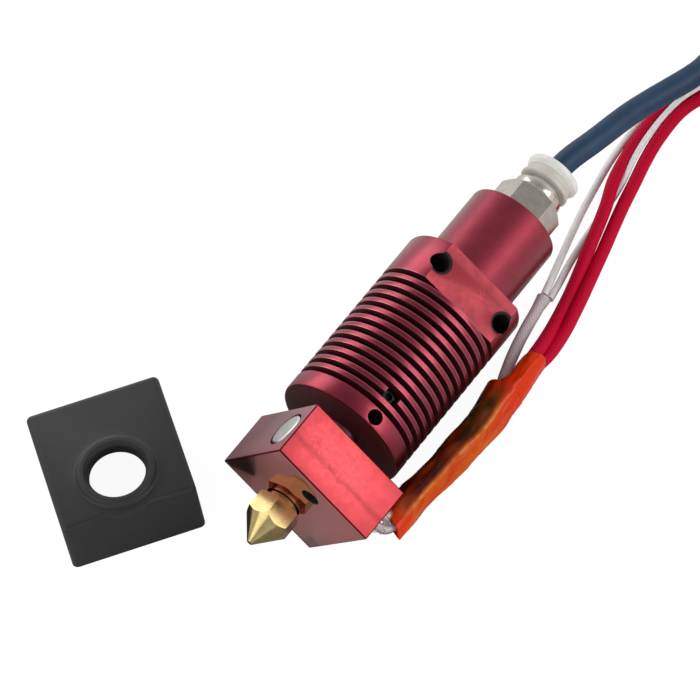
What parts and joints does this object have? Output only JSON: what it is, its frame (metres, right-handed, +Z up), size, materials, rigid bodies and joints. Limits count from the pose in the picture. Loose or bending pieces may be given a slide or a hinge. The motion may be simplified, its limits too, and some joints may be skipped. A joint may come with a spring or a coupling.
{
  "type": "hotend assembly",
  "caption": "Finned hotend with a heater block, nozzle, push-in tube fitting, taped heater and sensor leads, lying on a bench with its silicone sock beside it.",
  "frame": {"origin": "on the bench, under the middle of the hotend and its sock, measured without the free cords", "axes": "+Y along the hotend's axis from the nozzle to the tube, +Z up from the bench, +X towards the side where the wires leave the heater block"},
  "size_m": [0.0961, 0.1931, 0.0281],
  "materials": {
    "red_anodised": "satin anodised",
    "steel": "machined",
    "brass": "machined",
    "nickel": "nickel plated",
    "cartridge_steel": "drawn",
    "black_steel": "black oxide",
    "blue_tube": "smooth",
    "white_plastic": "moulded",
    "black_rubber": "matt",
    "amber_tape": "glossy film",
    "red_braid": "braided",
    "white_wire": "smooth",
    "glass_fibre_sleeve": "woven",
    "thermistor_glass": "clear",
    "crimp_tin": "tinned",
    "charcoal_silicone": "matt",
    "black_plastic": "moulded"
  },
  "bodies": {
    "hotend": {"heat_sink": "red_anodised", "heater_block": "red_anodised", "heat_break": "steel", "thermistor_clamp_screw": "steel", "collet_claws": "steel", "nozzle": "brass", "fitting_body": "nickel", "heater_cartridge": "cartridge_steel", "heat_break_grub_lower": "black_steel", "heat_break_grub_upper": "black_steel", "cartridge_grub_screw": "black_steel", "tube_inner_run": "blue_tube", "bowden_tube": "blue_tube", "bowden_tube_coil": "blue_tube", "fitting_o_ring": "black_rubber", "tape_wrap": "amber_tape", "tape_wrap_end": "amber_tape", "heater_lead_a": "red_braid", "heater_lead_b": "red_braid", "heater_leads_coil": "red_braid", "thermistor_lead_a": "white_wire", "thermistor_lead_b": "white_wire", "thermistor_leads_coil": "white_wire", "thermistor_tail": "white_wire", "heater_tail_a": "glass_fibre_sleeve", "heater_tail_b": "glass_fibre_sleeve", "thermistor_sleeve": "glass_fibre_sleeve", "thermistor_bead": "thermistor_glass", "heater_crimp_a": "crimp_tin", "heater_crimp_b": "crimp_tin", "heater_ferrule_a": "crimp_tin", "heater_ferrule_b": "crimp_tin", "tube_coil_tie": "black_plastic", "heater_coil_tie": "black_plastic", "thermistor_coil_tie": "black_plastic", "thermistor_connector": "black_plastic"},
    "release_ring": {"release_ring": "white_plastic"},
    "silicone_sock": {"silicone_sock": "charcoal_silicone"}
  },
  "joints": [
    {"name": "release_ring_push", "type": "slide", "parent": "hotend", "child": "release_ring", "axis": [0, -1, 0], "range_m": [0, 0.0008], "stiffness_N_per_m": 60},
    {"name": "sock_lift", "type": "slide", "parent": "hotend", "child": "silicone_sock", "axis": [0, 0, 1], "range_m": [0, 0.03]}
  ]
}
